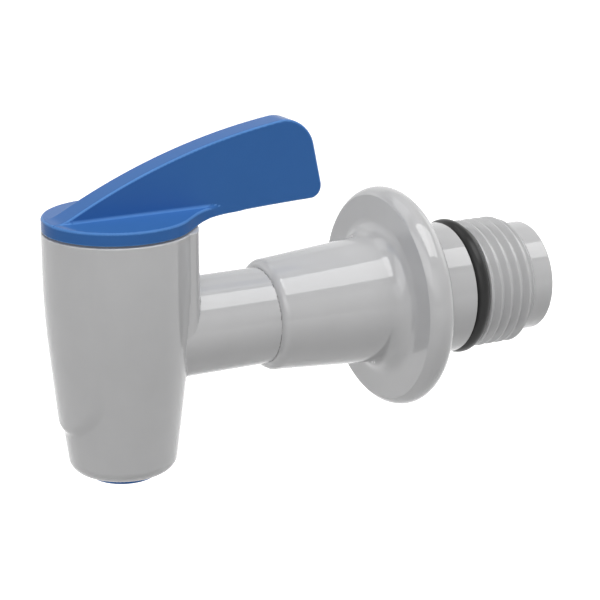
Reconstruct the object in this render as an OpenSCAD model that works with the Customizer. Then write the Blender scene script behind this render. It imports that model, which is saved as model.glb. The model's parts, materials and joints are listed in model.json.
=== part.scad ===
// Quarter-turn plug tap for a water filter vessel.
// Millimetres. The origin is the centre of the flange's rear face, which seats on the vessel.
// +Y runs along the shank into the vessel, +Z is up, and the barrel hangs at -Y.

/* [Barrel] */
// Distance from the flange's rear face to the barrel's axis
barrel_reach = 49.7; // [44:0.5:64]
// Diameter of the barrel where it meets the cap
barrel_d = 22.7; // [22:0.1:26]
// Diameter of the barrel's straight lower cone at its bottom edge
barrel_bottom_d = 16.2; // [15.4:0.1:18]
// Height of the barrel's rim above the shank's axis
barrel_top = 16.8; // [16:0.1:24]
// Depth of the barrel's bottom below the shank's axis
barrel_drop = 21; // [20.8:0.1:28]
// Slope of the lower cone, in millimetres of radius for each millimetre of height
barrel_slope = 0.126; // [0.1:0.002:0.15]
// Length over which the straight top bends into the cone, each way
barrel_bend = 8; // [4:0.5:9]
// Radius of the rounded bottom edge
barrel_edge_r = 2; // [0.5:0.1:3]

/* [Front apron] */
// Width of the raised apron at its round lower end
apron_w = 15.4; // [12:0.2:17]
// Width of the apron at the barrel's rim
apron_top_w = 20.8; // [18:0.2:21.5]
// Depth of the apron's lowest point below the shank's axis
apron_drop = 14; // [13:0.1:16]
// Length over which the apron's face bends, each way
apron_bend = 6; // [3:0.5:7]
// Slope of the apron's face, less than that of the cone
apron_slope = 0.095; // [0.08:0.001:0.098]
// How far the apron's wall, if it ran on, would stand out from the cone at the barrel's bottom
apron_proud = 0.85; // [0.7:0.05:1.1]

/* [Rear pad] */
// Distance from the barrel's axis to the pad's round rear face
pad_reach = 12.2; // [11.8:0.1:12.4]

/* [Pipe and joint] */
// Outside diameter of the pipe between the barrel and the shank
pipe_d = 15.2; // [14.4:0.1:15.6]
// Diameter of the water way through the pipe
pipe_bore_d = 8.4; // [6.4:0.1:8.6]
// Distance from the barrel's axis to the mouth of the shank's socket
socket_mouth = 23.8; // [20:0.1:28]
// Depth of the socket that takes the pipe's spigot
socket_depth = 12; // [10:0.5:14]
// Diameter of the spigot
spigot_d = 12.8; // [12.4:0.1:13.2]
// Free length left between the spigot's end and the socket's floor
spigot_end_gap = 0.5; // [0.3:0.1:1]
// Distance from the socket's mouth to the snap bead
bead_in = 3.6; // [2.4:0.1:4]
// Distance from the socket's mouth to the middle of the joint ring
joint_ring_in = 7.9; // [7.4:0.1:8.4]
// Height of the snap bead on the spigot
bead_h = 0.3; // [0.2:0.05:0.4]
// Width of the snap bead
bead_w = 1.4; // [1:0.1:2]

/* [Shank] */
// Diameter of the shank's rounded shoulder at the socket's mouth
shank_d = 17.6; // [17:0.1:19]
// Slope of the shank's cone towards the flange
shank_slope = 0.074; // [0.04:0.002:0.09]
// Radius of the rounded shoulder
shoulder_r = 1.3; // [0.5:0.1:1.3]
// Diameter of the flange
flange_d = 35.5; // [32:0.5:44]
// Thickness of the flange
flange_t = 4.9; // [4.6:0.1:5.3]
// Radius of the flange's round rim, which runs from the rear face round to the flat front
flange_rim_r = 2.7; // [2.66:0.02:3]
// Radius of the fillet between the cone and the flange
flange_fillet_r = 3; // [1:0.1:3.4]
// Diameter of the plain neck behind the flange
neck_d = 21.3; // [21.28:0.02:21.7]
// Length of the neck and the ring groove behind the flange
neck_l = 10.6; // [8:0.1:16]
// Length of the threaded stretch
thread_l = 9.4; // [7.5:0.1:20]
// Length of the plain tail behind the thread
tail_l = 3.6; // [2:0.1:8]
// Diameter of the plain tail
tail_d = 18; // [17.6:0.1:18.4]
// Diameter of the water way at the shank's inlet
inlet_d = 13.8; // [12:0.1:14.4]
// Length of the wide stretch of the water way, from the tail's end
inlet_l = 26; // [16:0.5:27]

/* [Thread] */
// Outside diameter of the half-inch parallel pipe thread
thread_d = 20.955; // [20.905:0.005:20.955]
// Distance from crest to crest
thread_pitch = 1.814; // [1.81:0.002:1.82]
// Depth of the thread
thread_depth = 1.162; // [1.1:0.002:1.164]
// Width of each crest and each root flat
thread_flat = 0.3; // [0.2:0.01:0.4]

/* [Cap and lever] */
// Diameter of the round cap
cap_d = 22.6; // [22:0.1:26]
// Thickness of the cap
cap_t = 2; // [1.6:0.1:3]
// Thickness of the upright lever
lever_t = 4.6; // [3.2:0.1:5]
// Distance from the barrel's axis to the lever's foremost point on the cap
lever_tip = 9.5; // [8:0.1:10]
// Distance from the barrel's axis to the lever's lowest rear corner
lever_l = 33.9; // [30:0.1:46]
// Height of the lever's upper rear corner above the cap
lever_rise = 12.6; // [9:0.1:16]
// Distance that the rear edge leans back from top to bottom
lever_lean = 2.75; // [1:0.1:4]
// Height that the lower edge gains from the cap to its rear end
lever_undercut = 1.3; // [0.4:0.1:2]
// Bow of the upper edge above its chord
lever_bow = 2.25; // [1:0.1:2.6]
// Bow of the lower edge above its chord
lever_lower_bow = 0.2; // [0.1:0.05:0.3]
// Radius of the upper rear corner
lever_top_r = 4.8; // [2:0.1:5.2]
// Distance that the lower edge starts inside the cap's edge
lever_root_in = 1; // [0.5:0.1:2]
// Radius of the lower rear corner
lever_low_r = 2.4; // [1:0.1:3]
// Radius of the plan fillet between the cap and the lever
web_r = 5.5; // [2:0.1:6]

/* [Hub and stop] */
// Diameter of the hub under the cap
hub_d = 14; // [13.4:0.1:14.4]
// Diameter over the stop lug on the hub
lug_d = 18; // [17:0.1:18.4]
// Angle that the stop lug covers
lug_angle = 40; // [24:1:50]
// Angle that the lever turns from shut to fully open, each way
turn_limit = 90; // [60:1:100]
// Free angle left between the lug and each stop
stop_slack = 2; // [1:0.5:4]
// Depth of the stop slot below the barrel's rim
slot_depth = 4.2; // [3.4:0.1:4.6]

/* [Valve plug] */
// Diameter of the plug's bore in the barrel
valve_bore_d = 14.8; // [14.2:0.1:15]
// Depth of the valve bore's floor below the shank's axis
valve_floor = 12.5; // [12:0.1:13.5]
// Height of the plug's flat top above the shank's axis
plug_top = 12.2; // [11.6:0.1:12.4]
// Diameter of the plug's spout
spout_d = 9; // [8.6:0.1:9.4]
// Diameter of the water ways in the plug and in the seal
port_d = 6; // [4.6:0.1:6.2]
// Diameter of the water way at the outlet
outlet_d = 6.6; // [6.4:0.1:6.8]
// Length of the wider stretch of the outlet
outlet_l = 12; // [8:0.5:14]
// Height of the plug's inner web above the shank's axis
web_z = 6; // [5.8:0.1:6.4]
// Width across the flats of the plug's square stem
stem_w = 7; // [6:0.1:8]
// Height of the stem above the plug's flat top
stem_h = 3; // [2:0.1:3.4]

/* [Rings and seals] */
// Thickness of the thrust washer under the plug
thrust_t = 0.5; // [0.3:0.1:0.8]
// Height of each plug ring above or below the shank's axis
plug_ring_z = 9.2; // [8.4:0.1:9.4]
// Section diameter of the plug rings
plug_ring_section = 1.5; // [1.2:0.02:1.6]
// Section diameter of the ring in the socket joint
joint_ring_section = 1.24; // [1:0.02:1.4]
// Section diameter of the ring on the neck
shank_ring_section = 2.64; // [2.4:0.02:2.8]
// Outside diameter of the ring on the neck
shank_ring_d = 22.1; // [21.9:0.1:22.6]
// Outside diameter of the seal around the valve port
port_seal_d = 9.6; // [8.6:0.1:10]
// Distance from the barrel's axis to the back of the port seal
port_seal_reach = 10.2; // [9.4:0.1:10.6]
// Thickness of the wall behind the port seal
port_wall = 1.4; // [1:0.1:2]
// Diameter of the outlet ring
outlet_ring_d = 10.5; // [10:0.1:11.4]
// Height of the outlet ring
outlet_ring_h = 1.35; // [1:0.05:1.6]
// Height of the outlet ring that shows below the barrel
outlet_ring_show = 0.95; // [0.6:0.05:1.2]
// Diameter of the spout's end inside the outlet ring
outlet_seat_d = 8.4; // [8:0.1:8.6]

/* [Handle screw] */
// Diameter of the screw's shank
screw_d = 3; // [2.5:0.1:3.2]
// Length of the screw under its head
screw_l = 12.5; // [11:0.1:12.8]
// Diameter of the screw's head
screw_head_d = 5.4; // [4.8:0.1:5.6]
// Height of the screw's head
screw_head_h = 1.9; // [1.4:0.1:2.1]
// Width across the corners of the screw's hexagon socket
screw_socket_w = 2.9; // [2:0.1:3.2]
// Depth of the hexagon socket
screw_socket_deep = 1.3; // [0.8:0.1:1.3]
// Thickness of the seal under the screw's head
screw_seal_t = 0.5; // [0.3:0.1:0.6]

/* [Clearances] */
// Radial clearance of the plug and the spout in their bores
running_gap = 0.05; // [0.02:0.01:0.1]
// Radial clearance between the plug rings and the bore
ring_gap = 0.07; // [0.03:0.01:0.1]
// Clearance of parts that turn past each other without touching
free_gap = 0.3; // [0.25:0.05:0.5]
// Radial clearance of the screw in the plug and in its seal
screw_gap = 0.1; // [0.05:0.01:0.2]
// Clearance of parts that are pushed together and stay
push_gap = 0.05; // [0.02:0.01:0.1]

/* [Hidden] */
$fn = 96;
grey = [0.68, 0.68, 0.69];
blue = [0.16, 0.38, 0.68];
black = [0.12, 0.12, 0.12];
// Overshoot of a cut past the face that it opens
past = 1;
// Overlap of solids that are joined
joined = 0.2;
// Cap
cap_z = barrel_top + free_gap;
cap_top = cap_z + cap_t;
corner_share = 1.3;
// Barrel
barrel_r = barrel_d / 2;
barrel_bottom = -barrel_drop;
bottom_r = barrel_bottom_d / 2;
pipe_r = pipe_d / 2;
spigot_r = spigot_d / 2;
// How far the pad's sides lie inside the pipe's, so that the two run together
pad_inset = 0.05;
pad_half = pipe_r - pad_inset;
// Valve
valve_r = valve_bore_d / 2;
valve_bottom = -valve_floor;
plug_r = valve_r - running_gap;
plug_bottom = valve_bottom + thrust_t;
spout_r = spout_d / 2;
spout_bore_r = spout_r + running_gap;
port_r = port_d / 2;
plug_end = barrel_bottom - outlet_ring_show;
outlet_ring_top = plug_end + outlet_ring_h;
outlet_seat_r = outlet_seat_d / 2;
// Stop
hub_r = hub_d / 2;
lug_r = lug_d / 2;
slot_floor = barrel_top - slot_depth;
slot_angle = turn_limit + lug_angle / 2 + stop_slack;
// Rings, with the gap that keeps a ring just clear of its bore and of the groove's two sides
ring_slip = 0.01;
groove_side = 0.25;
neck_groove_side = 0.08;
plug_ring_r = plug_ring_section / 2;
plug_groove_r = valve_r - ring_gap - plug_ring_section;
joint_ring_r = joint_ring_section / 2;
socket_r = spigot_r + push_gap;
joint_groove_r = socket_r - joint_ring_section - ring_slip;
joint_groove_z = socket_mouth + joint_ring_in;
bead_z = socket_mouth + bead_in;
spigot_l = socket_depth - spigot_end_gap;
shank_ring_r = shank_ring_section / 2;
shank_ring_major = shank_ring_d / 2 - shank_ring_r;
neck_groove_w = shank_ring_section + 2 * neck_groove_side;
// Shank, measured along its axis from the flange's rear face
mouth_y = socket_mouth - barrel_reach;
flange_r = flange_d / 2;
rim_major = flange_r - flange_rim_r;
cone_lean = atan(shank_slope);
fillet_y = -flange_t - flange_fillet_r;
fillet_centre = [shank_d / 2 + shank_slope * (fillet_y - mouth_y) + flange_fillet_r / cos(cone_lean), fillet_y];
thread_start = neck_l;
thread_end = neck_l + thread_l;
tail_end = thread_end + tail_l;
crest_r = thread_d / 2;
root_r = crest_r - thread_depth;
flank_w = (thread_pitch - 2 * thread_flat) / 2;
// Plain stretch before the first crest's flank
first_root = 0.2;
thread_turns = floor((thread_l - first_root) / thread_pitch);
// Screw
screw_r = screw_d / 2;
screw_hole_r = screw_r + screw_gap;
screw_head_z = web_z - screw_seal_t;
screw_tip = screw_head_z + screw_l;

// Places its children with their z axis along the shank and y = 0 at the flange's rear face
module along_shank() rotate([-90, 0, 0]) children();

// Places its children on the barrel's axis
module at_barrel() translate([0, -barrel_reach, 0]) children();

// A ring of round section
module round_ring(major, minor) rotate_extrude() translate([major, 0]) circle(minor, $fn = 48);

// A flat ring that rests on z = 0
module flat_ring(outer, inner, height) difference() {
    cylinder(r = outer, h = height);
    translate([0, 0, -past]) cylinder(r = inner, h = height + 2 * past);
}

// A wedge of a disc, centred on the angle a and half_angle wide each way
module sector(r, a, half_angle, height) intersection() {
    cylinder(r = r, h = height);
    translate([0, 0, -past]) linear_extrude(height + 2 * past)
        polygon(concat([[0, 0]], [for (i = [0 : 6])
            2 * r * [cos(a + half_angle * (i / 3 - 1)), sin(a + half_angle * (i / 3 - 1))]]));
}

// Points of an arc about c from angle a0 to angle a1
function arc(c, r, a0, a1, n = 12) =
    [for (i = [0 : n]) c + r * [cos(a0 + (a1 - a0) * i / n), sin(a0 + (a1 - a0) * i / n)]];

// Points from a to b on an arc that bows to the left of the chord
function bowed(a, b, bow, n = 24) =
    let (d = b - a, c = norm(d), r = (c * c / 4 + bow * bow) / (2 * bow),
         m = (a + b) / 2 + [d.y, -d.x] / c * (r - bow), h = asin(c / 2 / r),
         t = atan2(a.y - m.y, a.x - m.x))
    arc(m, r, t, t - 2 * h, n);

// Points of a rounded corner at p, between the directions from a and to b
function corner(a, p, b, r, n = 12) =
    let (u = (a - p) / norm(a - p), v = (b - p) / norm(b - p),
         h = acos(u * v) / 2, c = p + (u + v) / norm(u + v) * r / sin(h),
         s = p + u * r / tan(h), e = p + v * r / tan(h),
         t0 = atan2(s.y - c.y, s.x - c.x), t1 = atan2(e.y - c.y, e.x - c.x),
         turn = t1 - t0 > 180 ? t1 - t0 - 360 : t1 - t0 < -180 ? t1 - t0 + 360 : t1 - t0)
    arc(c, r, t0, t0 + turn, n);

// Radius at height z of a wall that is straight at the top and bends into a cone
function wall_r(z, slope, foot_r, bend) =
    let (kink = barrel_bottom + (barrel_r - foot_r) / slope, lean = atan(slope),
         big = bend / tan(lean / 2), start = kink + bend)
    z >= start ? barrel_r
    : z <= kink - bend * cos(lean) ? foot_r + slope * (z - barrel_bottom)
    : barrel_r - big + sqrt(big * big - (start - z) * (start - z));

// Outline of a round body with that wall, from the bottom edge to the rim
module wall_profile(slope, foot_r, bend, edge_r, steps = 24) polygon(concat(
    [[0, barrel_bottom]],
    arc([foot_r - edge_r, barrel_bottom + edge_r], edge_r, -90, 0, 10),
    [for (i = [1 : steps]) let (z = barrel_bottom + edge_r + (barrel_top - barrel_bottom - edge_r) * i / steps)
        [wall_r(z, slope, foot_r, bend), z]],
    [[0, barrel_top]]));

// The raised apron on the front of the barrel
module apron() intersection() {
    rotate_extrude() wall_profile(apron_slope, bottom_r + apron_proud, apron_bend, barrel_edge_r);
    union() {
        translate([0, 0, apron_w / 2 - apron_drop]) rotate([90, 0, 0]) cylinder(d = apron_w, h = barrel_d);
        rotate([90, 0, 0]) linear_extrude(barrel_d) polygon([
            [-apron_w / 2, apron_w / 2 - apron_drop], [apron_w / 2, apron_w / 2 - apron_drop],
            [apron_top_w / 2, barrel_top], [-apron_top_w / 2, barrel_top]]);
    }
}

// The upright pad behind the barrel, on top of the pipe and as wide
module rear_pad() intersection() {
    cylinder(r = pad_reach, h = barrel_top);
    translate([-pad_half, 0, 0]) cube([2 * pad_half, pad_reach, barrel_top]);
}

// The pipe and its spigot, from the barrel's axis towards the shank
module pipe_outside() {
    cylinder(r = pipe_r, h = socket_mouth);
    cylinder(r = spigot_r, h = socket_mouth + spigot_l);
    translate([0, 0, bead_z]) cylinder(r = spigot_r + bead_h, h = bead_w);
}

module barrel_body() color(grey) at_barrel() difference() {
    union() {
        rotate_extrude() wall_profile(barrel_slope, bottom_r, barrel_bend, barrel_edge_r);
        apron();
        rear_pad();
        along_shank() pipe_outside();
    }
    // Valve bore, spout bore and the recess of the outlet ring
    translate([0, 0, valve_bottom]) cylinder(r = valve_r, h = barrel_top - valve_bottom + past);
    translate([0, 0, barrel_bottom - past]) cylinder(r = spout_bore_r, h = barrel_drop);
    translate([0, 0, barrel_bottom - past])
        cylinder(d = outlet_ring_d + 2 * free_gap, h = outlet_ring_top + free_gap - barrel_bottom + past);
    // Slot that the stop lug turns in
    translate([0, 0, slot_floor]) sector(lug_r + free_gap, 90, slot_angle, slot_depth + past);
    // Water way with its port and the pocket of the port seal
    along_shank() {
        cylinder(r = port_r, h = socket_mouth);
        cylinder(d = port_seal_d, h = port_seal_reach);
        translate([0, 0, port_seal_reach + port_wall]) cylinder(d = pipe_bore_d, h = barrel_reach);
        translate([0, 0, joint_groove_z - joint_ring_r - groove_side])
            flat_ring(spigot_d, joint_groove_r, joint_ring_section + 2 * groove_side);
    }
}

// Half section of the thread, with its root as a core
module thread_profile() polygon(concat(
    [[0, thread_start], [root_r, thread_start]],
    [for (i = [0 : thread_turns - 1]) let (y = thread_start + first_root + i * thread_pitch) each [
        [root_r, y + thread_flat / 2], [crest_r, y + thread_flat / 2 + flank_w],
        [crest_r, y + thread_flat * 1.5 + flank_w], [root_r, y + thread_flat * 1.5 + 2 * flank_w]]],
    [[root_r, thread_end], [0, thread_end]]));

// The shank's solid outside, with z along the shank
module shank_outside() {
    // Shoulder, cone and the fillet that runs from the cone into the flange's front
    rotate_extrude() polygon(concat(
        [[0, mouth_y]], arc([shank_d / 2 - shoulder_r, mouth_y + shoulder_r], shoulder_r, -90, 0, 10),
        arc(fillet_centre, flange_fillet_r, 180 - cone_lean, 90),
        [[fillet_centre.x, -flange_rim_r], [0, -flange_rim_r]]));
    // Flange, its round rim cut off flat at the front
    intersection() {
        union() {
            translate([0, 0, -flange_rim_r]) rotate_extrude() translate([rim_major, 0]) circle(flange_rim_r);
            translate([0, 0, -2 * flange_rim_r]) cylinder(r = rim_major, h = 2 * flange_rim_r);
        }
        translate([0, 0, -flange_t]) cylinder(r = flange_r + past, h = flange_t + past);
    }
    cylinder(d = neck_d, h = neck_l - neck_groove_w);
    cylinder(r = shank_ring_major - shank_ring_r, h = neck_l);
    rotate_extrude() thread_profile();
    translate([0, 0, thread_end - joined]) cylinder(d = tail_d, h = tail_l + joined);
}

module mounting_shank() color(grey) along_shank() difference() {
    shank_outside();
    translate([0, 0, mouth_y - past]) cylinder(r = socket_r, h = socket_depth + past);
    translate([0, 0, mouth_y + bead_z - socket_mouth - push_gap])
        cylinder(r = socket_r + bead_h, h = bead_w + 2 * push_gap);
    translate([0, 0, mouth_y]) cylinder(d = pipe_bore_d, h = tail_end - mouth_y + past);
    translate([0, 0, tail_end - inlet_l]) cylinder(d = inlet_d, h = inlet_l + past);
}

module joint_ring() color(black) at_barrel() along_shank()
    translate([0, 0, joint_groove_z]) round_ring(joint_groove_r + joint_ring_r, joint_ring_r);

module shank_ring() color(black) along_shank()
    translate([0, 0, neck_l - neck_groove_w / 2]) round_ring(shank_ring_major, shank_ring_r);

// Rubber seal around the port, its face hollowed to the plug's bore
module port_seal() color(black) at_barrel() difference() {
    along_shank() flat_ring(port_seal_d / 2, port_r, port_seal_reach);
    cylinder(r = valve_r, h = valve_bore_d, center = true);
}

module thrust_washer() color("white") at_barrel()
    translate([0, 0, valve_bottom]) flat_ring(valve_r - free_gap, spout_bore_r + free_gap, thrust_t);

// Side outline of the lever: x is the distance behind the barrel's axis, y is the height
module lever_outline() {
    tip = [-lever_tip, cap_top];
    low = [lever_l, cap_z + lever_undercut];
    top = [lever_l - lever_lean, cap_top + lever_rise];
    root = [cap_d / 2 - lever_root_in, cap_z];
    crest = bowed(tip, top, lever_bow);
    // The corner cuts the bowed edge off where its straight continuation meets the rear edge
    upper = [for (q = crest) if (q.x < top.x - lever_top_r) q];
    lower = bowed(root, low, lever_lower_bow);
    // The rounded corner takes more of the edge than its radius, because the corner is sharper than square
    under = [for (i = [len(lower) - 1 : -1 : 0]) if (lower[i].x < low.x - corner_share * lever_low_r) lower[i]];
    polygon(concat(upper, corner(upper[len(upper) - 1], top, low, lever_top_r),
        corner(top, low, under[0], lever_low_r), under, [[0, cap_z + cap_t / 2]]));
}

// Web that blends the round cap into the lever's flanks
module cap_web() {
    r = cap_d / 2;
    y = lever_t / 2 + web_r;
    x = sqrt(pow(r + web_r, 2) - y * y);
    difference() {
        linear_extrude(cap_t) polygon([[0, 0], [-y * r / (r + web_r), x * r / (r + web_r)],
            [-lever_t / 2, x], [lever_t / 2, x], [y * r / (r + web_r), x * r / (r + web_r)]]);
        for (side = [-1, 1]) translate([side * y, x, -past]) cylinder(r = web_r, h = cap_t + 2 * past);
    }
}

module handle() color(blue) at_barrel() difference() {
    union() {
        translate([0, 0, cap_z]) cylinder(d = cap_d, h = cap_t);
        translate([0, 0, cap_z]) cap_web();
        translate([-lever_t / 2, 0, 0]) rotate([90, 0, 90]) linear_extrude(lever_t) lever_outline();
        translate([0, 0, plug_top]) cylinder(r = hub_r, h = cap_z - plug_top + joined);
        translate([0, 0, slot_floor + free_gap])
            sector(lug_r, 90, lug_angle / 2, cap_z - slot_floor - free_gap + joined);
    }
    // Square socket for the plug's stem
    translate([-stem_w / 2 - push_gap, -stem_w / 2 - push_gap, plug_top - past])
        cube([stem_w + 2 * push_gap, stem_w + 2 * push_gap, stem_h + push_gap + past]);
    translate([0, 0, plug_top]) cylinder(r = screw_r, h = screw_tip - plug_top + free_gap);
}

module plug_groove(z) translate([0, 0, z - plug_ring_r - groove_side])
    flat_ring(valve_bore_d, plug_groove_r, plug_ring_section + 2 * groove_side);

module valve_plug() color(blue) at_barrel() difference() {
    union() {
        translate([0, 0, plug_bottom]) cylinder(r = plug_r, h = plug_top - plug_bottom);
        translate([-stem_w / 2, -stem_w / 2, plug_top - joined]) cube([stem_w, stem_w, stem_h + joined]);
        translate([0, 0, outlet_ring_top]) cylinder(r = spout_r, h = plug_bottom - outlet_ring_top + joined);
        translate([0, 0, plug_end]) cylinder(r = outlet_seat_r, h = outlet_ring_h + joined);
    }
    // Water ways: one cross port and one way down to the outlet
    translate([0, 0, plug_end - past]) cylinder(r = port_r, h = web_z - plug_end + past);
    translate([0, 0, plug_end - past]) cylinder(d = outlet_d, h = outlet_l + past);
    rotate([0, 90, 0]) cylinder(r = port_r, h = valve_bore_d, center = true);
    plug_groove(plug_ring_z);
    plug_groove(-plug_ring_z);
    cylinder(r = screw_hole_r, h = barrel_top);
}

module plug_ring(z) at_barrel() translate([0, 0, z]) round_ring(plug_groove_r + plug_ring_r, plug_ring_r);

module upper_plug_ring() color(black) plug_ring(plug_ring_z);

module lower_plug_ring() color(black) plug_ring(-plug_ring_z);

module handle_screw() color("silver") at_barrel() difference() {
    union() {
        translate([0, 0, screw_head_z - screw_head_h]) cylinder(d = screw_head_d, h = screw_head_h);
        translate([0, 0, screw_head_z - joined]) cylinder(r = screw_r, h = screw_l + joined);
    }
    translate([0, 0, screw_head_z - screw_head_h - past])
        cylinder(d = screw_socket_w, h = screw_socket_deep + past, $fn = 6);
}

module screw_seal() color(black) at_barrel()
    translate([0, 0, screw_head_z]) flat_ring(screw_head_d / 2, screw_hole_r, screw_seal_t);

module outlet_ring() color(blue) at_barrel()
    translate([0, 0, plug_end]) flat_ring(outlet_ring_d / 2, outlet_seat_r, outlet_ring_h);

barrel_body();
mounting_shank();
joint_ring();
shank_ring();
port_seal();
thrust_washer();
handle();
valve_plug();
upper_plug_ring();
lower_plug_ring();
handle_screw();
screw_seal();
outlet_ring();
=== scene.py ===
import json
import math
import bpy
import numpy as np
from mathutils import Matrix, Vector


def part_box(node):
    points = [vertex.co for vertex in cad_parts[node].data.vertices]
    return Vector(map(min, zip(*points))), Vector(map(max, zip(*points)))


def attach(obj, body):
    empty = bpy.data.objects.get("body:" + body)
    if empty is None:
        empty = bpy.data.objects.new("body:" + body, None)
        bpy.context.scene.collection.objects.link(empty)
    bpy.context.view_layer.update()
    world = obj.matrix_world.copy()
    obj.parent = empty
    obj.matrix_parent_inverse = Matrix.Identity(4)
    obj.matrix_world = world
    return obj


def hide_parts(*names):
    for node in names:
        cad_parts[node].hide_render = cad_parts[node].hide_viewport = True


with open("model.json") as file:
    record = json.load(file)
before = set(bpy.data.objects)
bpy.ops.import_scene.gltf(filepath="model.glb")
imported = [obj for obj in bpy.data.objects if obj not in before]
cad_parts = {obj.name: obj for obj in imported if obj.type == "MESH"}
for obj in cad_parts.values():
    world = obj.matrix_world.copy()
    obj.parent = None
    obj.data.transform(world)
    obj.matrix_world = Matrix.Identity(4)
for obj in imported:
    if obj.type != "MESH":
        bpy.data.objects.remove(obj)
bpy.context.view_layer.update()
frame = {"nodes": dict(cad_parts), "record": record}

# Lengths are in millimetres up to the point where a mesh or a lamp is made
MM = 0.001


def reach(node, axis, side):
    """How far a node of the frame reaches along an axis, to its low (0) or high (1) side."""
    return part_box(node)[side][axis] / MM


# The barrel and its axis
AXIS_Y = (reach("outlet_ring", 1, 0) + reach("outlet_ring", 1, 1)) / 2
BARREL_TOP = reach("barrel_body", 2, 1)
BARREL_BOTTOM = reach("barrel_body", 2, 0)
BARREL_R = 11.35
BARREL_FOOT_R = 8.1
BARREL_SLOPE = 0.126
BARREL_BEND = 8
BARREL_EDGE_R = 2
BARREL_TOP_EDGE_R = 0.2
APRON_W = 15.4
APRON_TOP_W = 20.8
APRON_DROP = 14
APRON_SLOPE = 0.095
APRON_BEND = 6
APRON_PROUD = 0.85
APRON_EDGE_R = 1.2
APRON_CREASE_R = 0.5
PAD_REACH = 12.2
PAD_HALF = 7.55
PAD_CORNER_R = 0.8
PIPE_R = 7.6
PIPE_BORE_R = 4.2
SPIGOT_R = 6.4
SPIGOT_L = 11.5
BEAD_IN = 3.6
BEAD_W = 1.4
BEAD_H = 0.3
JOINT_RING_IN = 7.9
JOINT_GROOVE_W = 1.74
JOINT_GROOVE_R = 5.2

# Valve bore, ports and stop slot
VALVE_R = 7.4
VALVE_FLOOR = -12.5
SPOUT_BORE_R = 4.55
RING_RECESS_R = 5.55
RING_RECESS_TOP = -20.3
PORT_R = 3
SEAL_R = 4.8
SEAL_REACH = 10.2
PORT_WALL = 1.4
SLOT_R = 9.3
SLOT_FLOOR = 12.6
SLOT_HALF_ANGLE = 112
BORE_EDGE_R = 0.12

# Cap and lever
CAP_R = 11.3
CAP_Z = 17.1
CAP_TOP = 19.1
CAP_EDGE_R = 0.4
LEVER_T = 4.6
LEVER_TIP = -9.5
LEVER_TOP_REAR = (31.15, 31.7)
LEVER_LOW_REAR = (33.9, 18.4)
LEVER_ROOT = (10.3, 17.1)
LEVER_BOW = 2.25
LEVER_LOWER_BOW = 0.2
LEVER_TOP_R = 4.8
LEVER_LOW_R = 2.4
LEVER_EDGE_R = 0.3
LEVER_BASE_R = 0.45
LEVER_BASE_MIN_R = 0.02
LEVER_BASE_SHARE = 0.6
TIP_BLEND = 0.4
WEB_R = 5.5
WEB_END = 20
UNDER_EDGE_R = 0.15
HUB_R = 7
HUB_Z = 12.2
LUG_R = 9
LUG_Z = 12.9
LUG_HALF_ANGLE = 20
STEM_HALF = 3.55
STEM_TOP = 15.25
SCREW_R = 1.5
SCREW_TOP = 18.3

# Shank, with y from the flange's rear face
MOUTH_Y = reach("mounting_shank", 1, 0)
TAIL_END = reach("mounting_shank", 1, 1)
FLANGE_R = reach("mounting_shank", 0, 1)
FLANGE_T = 4.9
RIM_R = 2.7
RIM_EDGE_R = 0.25
SHANK_R = 8.8
SHANK_SLOPE = 0.074
SHOULDER_R = 1.3
FILLET_R = 3
SEAT_FILLET_R = 0.3
NECK_R = 10.65
NECK_END = 7.8
NECK_EDGE_R = 0.2
GROOVE_R = 8.41
THREAD_START = 10.6
THREAD_END = 20
THREAD_CREST_R = 10.4775
THREAD_PITCH = 1.814
THREAD_DEPTH = 1.162
THREAD_CREST_HALF = 0.1
THREAD_FLANK_ANGLE = 27.5
THREAD_PHASE = 0.2
TAIL_R = 9
TAIL_EDGE_R = 0.4
SOCKET_R = 6.45
SOCKET_DEPTH = 12
SOCKET_EDGE = 0.2
SOCKET_BEAD_PLAY = 0.05
INLET_R = 6.9
INLET_L = 26
INLET_EDGE_R = 0.3


def fillet_union(a, b, r):
    """Distance to the union of two solids, with a concave fillet of radius r where they meet."""
    return np.maximum(r, np.minimum(a, b)) - np.hypot(np.maximum(r - a, 0), np.maximum(r - b, 0))


def round_cut(a, b, r):
    """Distance to what two solids share, with the edge between them rounded to radius r."""
    return np.minimum(-r, np.maximum(a, b)) + np.hypot(np.maximum(r + a, 0), np.maximum(r + b, 0))


def slab(v, low, high):
    """Distance to the stretch from low to high."""
    return np.maximum(low - v, v - high)


def slope_of(field, points, step=0.01):
    """The field's gradient at each point."""
    result = np.empty_like(points)
    for axis in range(3):
        move = np.zeros(3)
        move[axis] = step
        result[:, axis] = (field(*(points + move).T) - field(*(points - move).T)) / (2 * step)
    return result


def sharpness_of(field, points, step=0.1):
    """How sharply the surface bends at each point, per millimetre."""
    total = -6 * field(*points.T)
    for axis in range(3):
        move = np.zeros(3)
        move[axis] = step
        total += field(*(points + move).T) + field(*(points - move).T)
    return np.abs(total) / step ** 2


def new_object(name, points, faces, normals=None):
    """A mesh object from points in millimetres."""
    mesh = bpy.data.meshes.new(name)
    mesh.from_pydata((points * MM).tolist(), [], [list(f) for f in faces])
    mesh.validate()
    mesh.shade_smooth()
    if normals is not None:
        mesh.normals_split_custom_set_from_vertices(normals.tolist())
    obj = bpy.data.objects.new(name, mesh)
    bpy.context.scene.collection.objects.link(obj)
    return obj


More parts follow.
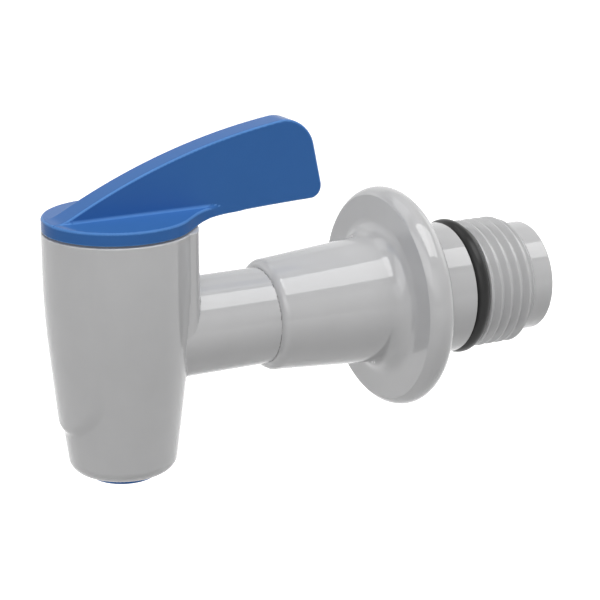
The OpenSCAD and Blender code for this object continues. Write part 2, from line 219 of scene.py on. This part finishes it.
def skin(name, field, low, high, cell, rounds=5):
    """Meshes the surface where field(x, y, z) is zero.

    Each cell of a grid that the surface passes through gets one vertex. Each grid edge that it
    crosses gets one face. The vertices are then drawn onto the surface and take its normals."""
    axes = [np.arange(a, b + cell, cell) for a, b in zip(low, high)]
    value = field(*np.meshgrid(*axes, indexing="ij"))
    faces = []
    spots = []
    for axis in range(3):
        count = value.shape[axis]
        near = np.take(value, range(count - 1), axis)
        far = np.take(value, range(1, count), axis)
        edges = np.argwhere((near < 0) != (far < 0))
        start = near[tuple(edges.T)]
        end = far[tuple(edges.T)]
        spot = edges.astype(float)
        spot[:, axis] += start / (start - end)
        ring = []
        for back_a, back_b in ((0, 0), (1, 0), (1, 1), (0, 1)):
            corner = edges.copy()
            corner[:, (axis + 1) % 3] -= back_a
            corner[:, (axis + 2) % 3] -= back_b
            ring.append(np.ravel_multi_index(corner.T, value.shape))
        ring = np.stack(ring, 1)
        ring[start > 0] = ring[start > 0][:, ::-1]
        faces.append(ring)
        spots.append(np.repeat(spot, 4, axis=0))
    faces = np.unique(np.concatenate(faces), return_inverse=True)[1].reshape(-1, 4)
    spots = np.concatenate(spots)
    share = np.bincount(faces.ravel())
    points = np.stack([np.bincount(faces.ravel(), spots[:, i]) / share for i in range(3)], 1)
    points = np.array(low) + points * cell
    for _ in range(rounds):
        slope = slope_of(field, points)
        step = field(*points.T) / np.maximum((slope ** 2).sum(1), 0.1)
        points -= np.clip(step, -cell, cell)[:, None] * slope
    normals = slope_of(field, points)
    normals /= np.linalg.norm(normals, axis=1)[:, None]
    obj = new_object(name, points, faces, normals)
    # The sharpness attribute places the painted edge highlight of a plastic that has an edge colour
    sharpness = obj.data.attributes.new("sharpness", "FLOAT", "POINT")
    sharpness.data.foreach_set("value", sharpness_of(field, points))
    return obj


def wall_r(z, slope, foot_r, bend):
    """Radius of a wall that is straight at the top and bends into a cone."""
    kink = BARREL_BOTTOM + (BARREL_R - foot_r) / slope
    lean = math.atan(slope)
    big = bend / math.tan(lean / 2)
    start = kink + bend
    bent = BARREL_R - big + np.sqrt(np.maximum(big ** 2 - (start - z) ** 2, 0))
    cone = foot_r + slope * (z - BARREL_BOTTOM)
    return np.where(z >= start, BARREL_R, np.where(z <= kink - bend * math.cos(lean), cone, bent))


def barrel_field(x, y, z):
    """The barrel with its apron, pad, pipe and spigot, and the bores in it."""
    y = y - AXIS_Y
    r = np.hypot(x, y)
    wall = wall_r(z, BARREL_SLOPE, BARREL_FOOT_R, BARREL_BEND)
    body = round_cut(r - wall, BARREL_BOTTOM - z, BARREL_EDGE_R)
    # Apron: it fades into the wall where it no longer stands out
    apron_wall = wall_r(z, APRON_SLOPE, BARREL_FOOT_R + APRON_PROUD, APRON_BEND)
    centre_z = APRON_W / 2 - APRON_DROP
    spread = (APRON_TOP_W - APRON_W) / 2 / (BARREL_TOP - centre_z)
    disc = np.hypot(x, z - centre_z) - APRON_W / 2
    sides = (np.abs(x) - APRON_W / 2 - spread * (z - centre_z)) * math.cos(math.atan(spread))
    outline = np.where(z < centre_z, disc, sides)
    apron = np.maximum(round_cut(r - apron_wall, outline, APRON_EDGE_R), y)
    proud = np.clip(apron_wall - wall, 0, APRON_CREASE_R)
    body = fillet_union(body, apron, proud)
    # Pad
    pad = round_cut(np.abs(x) - PAD_HALF, r - PAD_REACH, PAD_CORNER_R)
    body = np.minimum(body, np.maximum(pad, np.maximum(-y, -z)))
    body = round_cut(body, z - BARREL_TOP, BARREL_TOP_EDGE_R)
    # Pipe and spigot
    mouth = MOUTH_Y - AXIS_Y
    across = np.hypot(x, z)
    pipe = np.maximum(across - PIPE_R, slab(y, 0, mouth))
    bead = slab(y, mouth + BEAD_IN, mouth + BEAD_IN + BEAD_W)
    groove_y = mouth + JOINT_RING_IN
    groove = slab(y, groove_y - JOINT_GROOVE_W / 2, groove_y + JOINT_GROOVE_W / 2)
    spigot_r = np.where(groove < 0, JOINT_GROOVE_R, SPIGOT_R)
    spigot_r = np.where(bead < 0, SPIGOT_R + BEAD_H, spigot_r)
    spigot = np.maximum(across - spigot_r, slab(y, 0, mouth + SPIGOT_L))
    body = np.minimum(body, np.minimum(pipe, spigot))
    # Valve bore, spout bore and the recess of the outlet ring
    bores = np.minimum(np.maximum(r - VALVE_R, VALVE_FLOOR - z), np.maximum(r - SPOUT_BORE_R, z))
    bores = np.minimum(bores, np.maximum(r - RING_RECESS_R, z - RING_RECESS_TOP))
    # Stop slot
    angle = np.degrees(np.arctan2(np.abs(x), y))
    turn = (angle - SLOT_HALF_ANGLE) * math.pi / 180 * SLOT_R
    bores = np.minimum(bores, np.maximum(np.maximum(r - SLOT_R, SLOT_FLOOR - z), turn))
    # Water way
    way = np.maximum(across - PORT_R, -y)
    way = np.minimum(way, np.maximum(across - SEAL_R, slab(y, 0, SEAL_REACH)))
    way = np.minimum(way, np.maximum(across - PIPE_BORE_R, SEAL_REACH + PORT_WALL - y))
    return round_cut(body, -np.minimum(bores, way), BORE_EDGE_R)


def bow_centre(a, b, bow):
    """Centre and radius of the arc from a to b that bows to the left of the chord."""
    chord = math.dist(a, b)
    r = (chord ** 2 / 4 + bow ** 2) / (2 * bow)
    left = (-(b[1] - a[1]) / chord, (b[0] - a[0]) / chord)
    return [(a[i] + b[i]) / 2 - left[i] * (r - bow) for i in range(2)], r


UPPER_CENTRE, UPPER_R = bow_centre((LEVER_TIP, CAP_TOP), LEVER_TOP_REAR, LEVER_BOW)
LOWER_CENTRE, LOWER_R = bow_centre(LEVER_ROOT, LEVER_LOW_REAR, LEVER_LOWER_BOW)
REAR_LEAN = math.atan2(LEVER_LOW_REAR[0] - LEVER_TOP_REAR[0],
                       LEVER_TOP_REAR[1] - LEVER_LOW_REAR[1])


def handle_field(x, y, z):
    """The cap with its upright lever, and the hub, lug, socket and screw hole under it."""
    y = y - AXIS_Y
    r = np.hypot(x, y)
    flank = np.abs(x) - LEVER_T / 2
    above = z - CAP_TOP
    # Plan of the cap, with the web that blends it into the lever
    plan = fillet_union(r - CAP_R, np.maximum(flank, slab(y, 0, WEB_END)), WEB_R)
    cap = round_cut(plan, above, CAP_EDGE_R)
    # Side outline of the lever
    run = y - UPPER_CENTRE[0]
    drop = np.sqrt(UPPER_R ** 2 - run ** 2)
    height = UPPER_CENTRE[1] + drop - CAP_TOP
    lift = (height + np.sqrt(height ** 2 + TIP_BLEND ** 2)) / 2
    upper = (above - lift) * drop / UPPER_R
    rear_y, rear_z = y - LEVER_LOW_REAR[0], z - LEVER_LOW_REAR[1]
    rear = rear_y * math.cos(REAR_LEAN) + rear_z * math.sin(REAR_LEAN)
    under = LOWER_R - np.hypot(y - LOWER_CENTRE[0], z - LOWER_CENTRE[1])
    side = round_cut(round_cut(upper, rear, LEVER_TOP_R), under, LEVER_LOW_R)
    within = np.minimum(r - CAP_R + CAP_EDGE_R, -y)
    lever = np.maximum(round_cut(flank, side, LEVER_EDGE_R), within)
    # Fillet at the lever's foot, which shrinks with the lever's height towards its tip
    foot_r = np.clip(LEVER_BASE_SHARE * height, LEVER_BASE_MIN_R, LEVER_BASE_R)
    foot = foot_r - np.hypot(np.minimum(flank - foot_r, 0), np.minimum(above - foot_r, 0))
    foot = round_cut(round_cut(foot, plan, CAP_EDGE_R), side, LEVER_EDGE_R)
    body = np.minimum(np.minimum(cap, lever), foot)
    body = round_cut(body, np.maximum(CAP_Z - z, under), UNDER_EDGE_R)
    # Hub and stop lug, which start inside the cap
    inside = (CAP_Z + CAP_TOP) / 2
    lug_half = math.radians(LUG_HALF_ANGLE)
    wedge = np.abs(x) * math.cos(lug_half) - y * math.sin(lug_half)
    lug = np.maximum(np.maximum(r - LUG_R, wedge), slab(z, LUG_Z, inside))
    hub = np.maximum(r - HUB_R, slab(z, HUB_Z, inside))
    body = np.minimum(body, np.minimum(hub, lug))
    # Square socket and screw hole
    socket = np.maximum(np.maximum(np.abs(x), np.abs(y)) - STEM_HALF, z - STEM_TOP)
    hole = np.maximum(r - SCREW_R, z - SCREW_TOP)
    return np.maximum(body, -np.minimum(socket, hole))


def bend(centre, r, start, end, steps=8):
    """Points (radius, place) of an arc, with angles in degrees."""
    angles = [math.radians(start + (end - start) * i / steps) for i in range(steps + 1)]
    return [(centre[0] + r * math.cos(a), centre[1] + r * math.sin(a)) for a in angles]


def lathe(name, rows, across=192, axis="y", centre=(0, 0, 0)):
    """Turns rows about an axis into a closed mesh.

    A row is (radius, place) or a function of the turn (0 to 1) that gives it. Points that fall
    together become one, and faces that this empties are left out."""
    turn = np.arange(across + 1) / across
    grid = np.empty((len(rows), across + 1, 3))
    for i, row in enumerate(rows):
        radius, place = row(turn) if callable(row) else [np.full(across + 1, v) for v in row]
        angle = 2 * math.pi * turn
        side, up = radius * np.cos(angle), radius * np.sin(angle)
        spot = [side, place, -up] if axis == "y" else [side, up, place]
        grid[i] = np.stack(spot, 1) + np.array(centre)
    points, index = np.unique(np.round(grid.reshape(-1, 3), 5), axis=0, return_inverse=True)
    index = index.reshape(len(rows), across + 1)
    faces = []
    for i in range(len(rows)):
        following = (i + 1) % len(rows)
        for j in range(across):
            loop = [index[i, j], index[following, j], index[following, j + 1], index[i, j + 1]]
            loop = [v for k, v in enumerate(loop) if v != loop[k - 1]]
            if len(set(loop)) == len(loop) > 2:
                faces.append(loop)
    obj = new_object(name, points, faces)
    obj.modifiers.new("even_normals", "WEIGHTED_NORMAL").weight = 50
    return obj


def thread_drop(from_crest):
    """How far the thread lies under its crest, with its crest and its root cut off flat."""
    drop = (from_crest - THREAD_CREST_HALF) / math.tan(math.radians(THREAD_FLANK_ANGLE))
    return np.clip(drop, 0, THREAD_DEPTH)


def thread_row(along):
    """One row of the thread. It climbs one pitch in a turn and stays between the thread's ends."""
    def row(turn):
        place = np.clip(along + THREAD_PITCH * turn, THREAD_START, THREAD_END)
        phase = place - THREAD_START - THREAD_PHASE - THREAD_PITCH * turn
        from_crest = np.abs((phase + THREAD_PITCH / 2) % THREAD_PITCH - THREAD_PITCH / 2)
        run_out = TAIL_R + THREAD_END - place
        return np.minimum(THREAD_CREST_R - thread_drop(from_crest), run_out), place
    return row


def thread_rows(steps=24):
    """Rows of the thread, from before its start to past its end."""
    first = THREAD_START + THREAD_PHASE - 2 * THREAD_PITCH
    count = math.ceil((THREAD_END - first) / THREAD_PITCH) * steps
    return [thread_row(first + i * THREAD_PITCH / steps) for i in range(count)]


def shank_rows():
    """Half section of the shank, from its mouth over the outside and back through the bores."""
    lean = math.degrees(math.atan(SHANK_SLOPE))
    fillet_y = -FLANGE_T - FILLET_R
    cone_r = SHANK_R + SHANK_SLOPE * (fillet_y - MOUTH_Y)
    fillet_x = cone_r + FILLET_R / math.cos(math.radians(lean))
    # The rim's round ends where its small edge to the flat front begins
    rim_x, edge_y = FLANGE_R - RIM_R, RIM_EDGE_R - FLANGE_T
    edge_run = math.sqrt((RIM_R - RIM_EDGE_R) ** 2 - (edge_y + RIM_R) ** 2)
    edge_angle = math.degrees(math.atan2(edge_y + RIM_R, edge_run))
    rows = [(SOCKET_R + SOCKET_EDGE, MOUTH_Y)]
    rows += bend((SHANK_R - SHOULDER_R, MOUTH_Y + SHOULDER_R), SHOULDER_R, -90, -lean, 10)
    rows += bend((fillet_x, fillet_y), FILLET_R, 180 - lean, 90, 14)
    rows += bend((rim_x + edge_run, edge_y), RIM_EDGE_R, -90, edge_angle, 5)
    rows += bend((rim_x, -RIM_R), RIM_R, edge_angle, 90, 28)
    rows += bend((NECK_R + SEAT_FILLET_R, SEAT_FILLET_R), SEAT_FILLET_R, -90, -180, 5)
    rows += bend((NECK_R - NECK_EDGE_R, NECK_END - NECK_EDGE_R), NECK_EDGE_R, 0, 90, 4)
    rows += [(GROOVE_R, NECK_END), (GROOVE_R, THREAD_START)]
    rows += thread_rows()
    rows += [(TAIL_R, THREAD_END)]
    rows += bend((TAIL_R - TAIL_EDGE_R, TAIL_END - TAIL_EDGE_R), TAIL_EDGE_R, 0, 90, 6)
    rows += bend((INLET_R + INLET_EDGE_R, TAIL_END - INLET_EDGE_R), INLET_EDGE_R, 90, 180, 4)
    inlet_floor = TAIL_END - INLET_L
    socket_floor = MOUTH_Y + SOCKET_DEPTH
    rows += [(INLET_R, inlet_floor), (PIPE_BORE_R, inlet_floor), (PIPE_BORE_R, socket_floor),
             (SOCKET_R, socket_floor)]
    bead_far = MOUTH_Y + BEAD_IN + BEAD_W + SOCKET_BEAD_PLAY
    bead_near = MOUTH_Y + BEAD_IN - SOCKET_BEAD_PLAY
    rows += [(SOCKET_R, bead_far), (SOCKET_R + BEAD_H, bead_far), (SOCKET_R + BEAD_H, bead_near),
             (SOCKET_R, bead_near), (SOCKET_R, MOUTH_Y + SOCKET_EDGE)]
    return rows


def remap(tree, value, low, high, to_low=0, to_high=1):
    """Maps the stretch from low to high of a node's output to another stretch."""
    node = tree.nodes.new("ShaderNodeMapRange")
    node.inputs["From Min"].default_value = low
    node.inputs["From Max"].default_value = high
    node.inputs["To Min"].default_value = to_low
    node.inputs["To Max"].default_value = to_high
    tree.links.new(value, node.inputs["Value"])
    return node.outputs["Result"]


# Bends per millimetre at which the painted edge highlight starts to show and shows in full
EDGE_HIGHLIGHT_BENDS = (1.2, 3.2)


def plastic(name, light, dark, rough, patch=260, grain=5200, grain_depth=0.004, specular=0.5,
            edge=None):
    """A moulded plastic or rubber: two close tones in soft patches, a fine grain and uneven gloss.

    An edge colour, where there is one, is a painted highlight where the surface bends sharply."""
    material = bpy.data.materials.new(name)
    material.use_nodes = True
    tree = material.node_tree
    nodes, links = tree.nodes, tree.links
    shader = nodes["Principled BSDF"]
    shader.inputs["Specular IOR Level"].default_value = specular
    place = nodes.new("ShaderNodeTexCoord")

    def noise(scale, detail):
        node = nodes.new("ShaderNodeTexNoise")
        node.inputs["Scale"].default_value = scale
        node.inputs["Detail"].default_value = detail
        links.new(place.outputs["Object"], node.inputs["Vector"])
        return node.outputs["Fac"]

    def mix(factor):
        node = nodes.new("ShaderNodeMix")
        node.data_type = "RGBA"
        links.new(factor, node.inputs["Factor"])
        return node

    tone = mix(noise(patch, 3))
    tone.inputs["A"].default_value = (*dark, 1)
    tone.inputs["B"].default_value = (*light, 1)
    colour = tone.outputs["Result"]
    # Painted highlight: a lighter colour where the surface bends sharply stands in for the gleam on
    # small edge rounds
    if edge is not None:
        sharpness = nodes.new("ShaderNodeAttribute")
        sharpness.attribute_name = "sharpness"
        painted_edge_highlight = mix(remap(tree, sharpness.outputs["Fac"], *EDGE_HIGHLIGHT_BENDS))
        painted_edge_highlight.inputs["B"].default_value = (*edge, 1)
        links.new(colour, painted_edge_highlight.inputs["A"])
        colour = painted_edge_highlight.outputs["Result"]
    links.new(colour, shader.inputs["Base Color"])
    gloss = remap(tree, noise(patch * 3, 4), 0, 1, rough * 0.85, rough * 1.15)
    links.new(gloss, shader.inputs["Roughness"])
    bump = nodes.new("ShaderNodeBump")
    bump.inputs["Strength"].default_value = 0.3
    bump.inputs["Distance"].default_value = grain_depth * MM
    links.new(noise(grain, 2), bump.inputs["Height"])
    links.new(bump.outputs["Normal"], shader.inputs["Normal"])
    return material


GREY = plastic("grey_plastic", (0.53, 0.53, 0.535), (0.50, 0.50, 0.505), 0.05,
               grain_depth=0.001, specular=0.6)
# The blue's edge colour is a painted highlight along the handle's sharply bent edges
BLUE = plastic("blue_plastic", (0.046, 0.155, 0.43), (0.042, 0.145, 0.41), 0.15,
               grain_depth=0.001, specular=0.04, edge=(0.1, 0.26, 0.6))
BLACK = plastic("black_rubber", (0.03, 0.03, 0.03), (0.022, 0.022, 0.022), 0.3, grain_depth=0.004,
                specular=0.2)
PALE = plastic("seal_rubber", (0.55, 0.5, 0.42), (0.5, 0.45, 0.38), 0.5)
WHITE = plastic("slide_plastic", (0.85, 0.85, 0.82), (0.8, 0.8, 0.77), 0.4)
STEEL = plastic("stainless_steel", (0.5, 0.5, 0.5), (0.42, 0.42, 0.43), 0.3, grain=9000)
STEEL.node_tree.nodes["Principled BSDF"].inputs["Metallic"].default_value = 1
FINISHES = {"grey_plastic": GREY, "blue_plastic": BLUE, "black_rubber": BLACK, "seal_rubber": PALE,
            "slide_plastic": WHITE, "stainless_steel": STEEL}
SLOT_OF = {part["node"]: part["material_slot"] for part in frame["record"]["subparts"]}


def stand_for(piece, node, body):
    """Lets a piece take the place and the finish of a CAD node and ride on its body."""
    piece.data.materials.clear()
    piece.data.materials.append(FINISHES[SLOT_OF[node]])
    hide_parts(node)
    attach(piece, body)


# Pieces, with the space that each skin is sought in and the size of its grid's cells
BARREL_SPACE = ((-12, AXIS_Y - 12, BARREL_BOTTOM - 1), (12, AXIS_Y + 36, BARREL_TOP + 1))
BARREL_CELL = 0.3
HANDLE_SPACE = ((-12, AXIS_Y - 12, HUB_Z - 1), (12, AXIS_Y + 35, 33.5))
HANDLE_CELL = 0.2
barrel = skin("barrel_shell", barrel_field, *BARREL_SPACE, BARREL_CELL)
stand_for(barrel, "barrel_body", "body")
handle = skin("handle_shell", handle_field, *HANDLE_SPACE, HANDLE_CELL)
stand_for(handle, "handle", "tap")
shank = lathe("shank_shell", shank_rows())
stand_for(shank, "mounting_shank", "body")

ring_low, ring_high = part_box("shank_ring")
section = (ring_high.y - ring_low.y) / MM / 2
ring_y = (ring_high.y + ring_low.y) / MM / 2
ring = lathe("shank_o_ring", bend((ring_high.x / MM - section, ring_y), section, 0, 345, 23))
stand_for(ring, "shank_ring", "body")

OUTLET_R = reach("outlet_ring", 0, 1)
OUTLET_LOW, OUTLET_HIGH = reach("outlet_ring", 2, 0), reach("outlet_ring", 2, 1)
OUTLET_HOLE_R = 4.2
OUTLET_EDGE_R = 0.35
OUTLET_TOP_EDGE_R = 0.1
outlet_rows = bend((OUTLET_R - OUTLET_EDGE_R, OUTLET_LOW + OUTLET_EDGE_R), OUTLET_EDGE_R, -90, 0)
outlet_rows += bend((OUTLET_R - OUTLET_TOP_EDGE_R, OUTLET_HIGH - OUTLET_TOP_EDGE_R), OUTLET_TOP_EDGE_R,
                    0, 90, 3)
outlet_rows += [(OUTLET_HOLE_R, OUTLET_HIGH), (OUTLET_HOLE_R, OUTLET_LOW)]
outlet = lathe("outlet_collar", outlet_rows, axis="z", centre=(0, AXIS_Y, 0))
stand_for(outlet, "outlet_ring", "tap")

# The other CAD nodes keep their shape
REPLACED = ("barrel_body", "handle", "mounting_shank", "shank_ring", "outlet_ring")
for name, node in frame["nodes"].items():
    if name not in REPLACED:
        node.data.materials.clear()
        node.data.materials.append(FINISHES[SLOT_OF[name]])

# Camera, where the photograph was taken from
CAMERA_AT = (267.2, -162.02, 91.95)
CAMERA_DIP = 16.62
CAMERA_HEADING = 61.81
camera_data = bpy.data.cameras.new("camera")
camera_data.lens = 120
camera_data.sensor_width = 36
camera_data.clip_start = 0.01
camera = bpy.data.objects.new("camera", camera_data)
camera.location = [v * MM for v in CAMERA_AT]
camera.rotation_euler = (math.radians(90 - CAMERA_DIP), 0, math.radians(CAMERA_HEADING))
bpy.context.scene.collection.objects.link(camera)
bpy.context.scene.camera = camera


def seen_white(tree, white, other):
    """Shows one shader to the camera, gloss and glass, and another to the rest of the light."""
    path = tree.nodes.new("ShaderNodeLightPath")
    seen = path.outputs["Is Camera Ray"]
    for kind in ("Is Glossy Ray", "Is Transmission Ray"):
        either = tree.nodes.new("ShaderNodeMath")
        either.operation = "MAXIMUM"
        tree.links.new(seen, either.inputs[0])
        tree.links.new(path.outputs[kind], either.inputs[1])
        seen = either.outputs[0]
    mix = tree.nodes.new("ShaderNodeMixShader")
    tree.links.new(seen, mix.inputs[0])
    tree.links.new(other, mix.inputs[1])
    tree.links.new(white, mix.inputs[2])
    return mix.outputs[0]


# World
world = bpy.data.worlds.new("world")
bpy.context.scene.world = world
world.use_nodes = True
tree = world.node_tree
soft = tree.nodes["Background"]
soft.inputs["Color"].default_value = (0.05, 0.05, 0.05, 1)
clear = tree.nodes.new("ShaderNodeBackground")
clear.inputs["Color"].default_value = (1, 1, 1, 1)
# White behind the object, and a greyer ceiling above what a view of it shows
looking = tree.nodes.new("ShaderNodeTexCoord")
height = tree.nodes.new("ShaderNodeSeparateXYZ")
tree.links.new(looking.outputs["Generated"], height.inputs[0])
tree.links.new(remap(tree, height.outputs["Z"], 0.5, 0.6, 1, 0.4), clear.inputs["Strength"])
shown = seen_white(tree, clear.outputs[0], soft.outputs[0])
tree.links.new(shown, tree.nodes["World Output"].inputs["Surface"])

# Floor
FLOOR_Z = -60
FLOOR_HALF = 3000
floor_mesh = bpy.data.meshes.new("floor")
floor_mesh.from_pydata([(sx * FLOOR_HALF * MM, sy * FLOOR_HALF * MM, FLOOR_Z * MM)
                        for sx, sy in ((-1, -1), (1, -1), (1, 1), (-1, 1))], [], [(0, 1, 2, 3)])
floor = bpy.data.objects.new("floor", floor_mesh)
bpy.context.scene.collection.objects.link(floor)
paint = bpy.data.materials.new("floor_paint")
paint.use_nodes = True
tree = paint.node_tree
tree.nodes.remove(tree.nodes["Principled BSDF"])
pale = tree.nodes.new("ShaderNodeBsdfDiffuse")
pale.inputs["Color"].default_value = (0.93, 0.93, 0.93, 1)
glow = tree.nodes.new("ShaderNodeEmission")
glow.inputs["Color"].default_value = (1, 1, 1, 1)
# The glow grows where the lamps no longer reach, so that the floor stays white to its far edge
place = tree.nodes.new("ShaderNodeTexCoord")
distance = tree.nodes.new("ShaderNodeVectorMath")
distance.operation = "LENGTH"
tree.links.new(place.outputs["Object"], distance.inputs[0])
tree.links.new(remap(tree, distance.outputs["Value"], 0.4, 1.5, 0.45, 1), glow.inputs["Strength"])
lit = tree.nodes.new("ShaderNodeAddShader")
tree.links.new(pale.outputs[0], lit.inputs[0])
tree.links.new(glow.outputs[0], lit.inputs[1])
dim = tree.nodes.new("ShaderNodeBsdfDiffuse")
dim.inputs["Color"].default_value = (0.45, 0.45, 0.45, 1)
shown = seen_white(tree, lit.outputs[0], dim.outputs[0])
tree.links.new(shown, tree.nodes["Material Output"].inputs["Surface"])
floor_mesh.materials.append(paint)

# The middle of the object along y
OBJECT_Y = -30


def softbox(name, at, width, length, radiance, shadow=False):
    """A soft rectangular light at a point, in millimetres, that faces the object."""
    data = bpy.data.lights.new(name, "AREA")
    data.shape = "RECTANGLE"
    data.size = width * MM
    data.size_y = length * MM
    data.energy = radiance * math.pi * data.size * data.size_y
    data.use_shadow = shadow
    light = bpy.data.objects.new(name, data)
    light.location = Vector(at) * MM
    light.rotation_euler = Vector(at).to_track_quat("Z", "Y").to_euler()
    bpy.context.scene.collection.objects.link(light)
    return light


def ceiling(name, x, y, radiance, shadow=False, height=1500):
    """A soft light that hangs level. It covers stretches of x and y, as shares of its height."""
    size = [(share[1] - share[0]) * height for share in (x, y)]
    light = softbox(name, (0, 0, height), *size, radiance, shadow)
    light.location.x = (x[0] + x[1]) / 2 * height * MM
    light.location.y = ((y[0] + y[1]) / 2 * height + OBJECT_Y) * MM
    light.rotation_euler = (0, 0, 0)


def around(azimuth, elevation, distance=1500):
    """A point in that direction from the object."""
    a, e = math.radians(azimuth), math.radians(elevation)
    level = distance * math.cos(e)
    return (level * math.cos(a), level * math.sin(a), distance * math.sin(e))


# Lamps
ceiling("key", (0.07, 0.85), (0.3, 1.0), 3.3, shadow=True)
ceiling("strip", (0.07, 0.85), (-0.3, 0.3), 4.6, shadow=True)
ceiling("back", (-1.1, -0.35), (0.2, 1.2), 0.2)
ceiling("top", (-0.8, -0.2), (-0.9, 0.1), 1.1)
softbox("front", around(-70, 30), 1600, 900, 1.7)
softbox("near", around(-25, 22), 1100, 800, 0.75)
softbox("far", around(-150, 15), 1100, 700, 0.7, shadow=True)
softbox("rear", around(100, 20), 1100, 700, 1.0)

bpy.context.scene.view_settings.view_transform = "Standard"
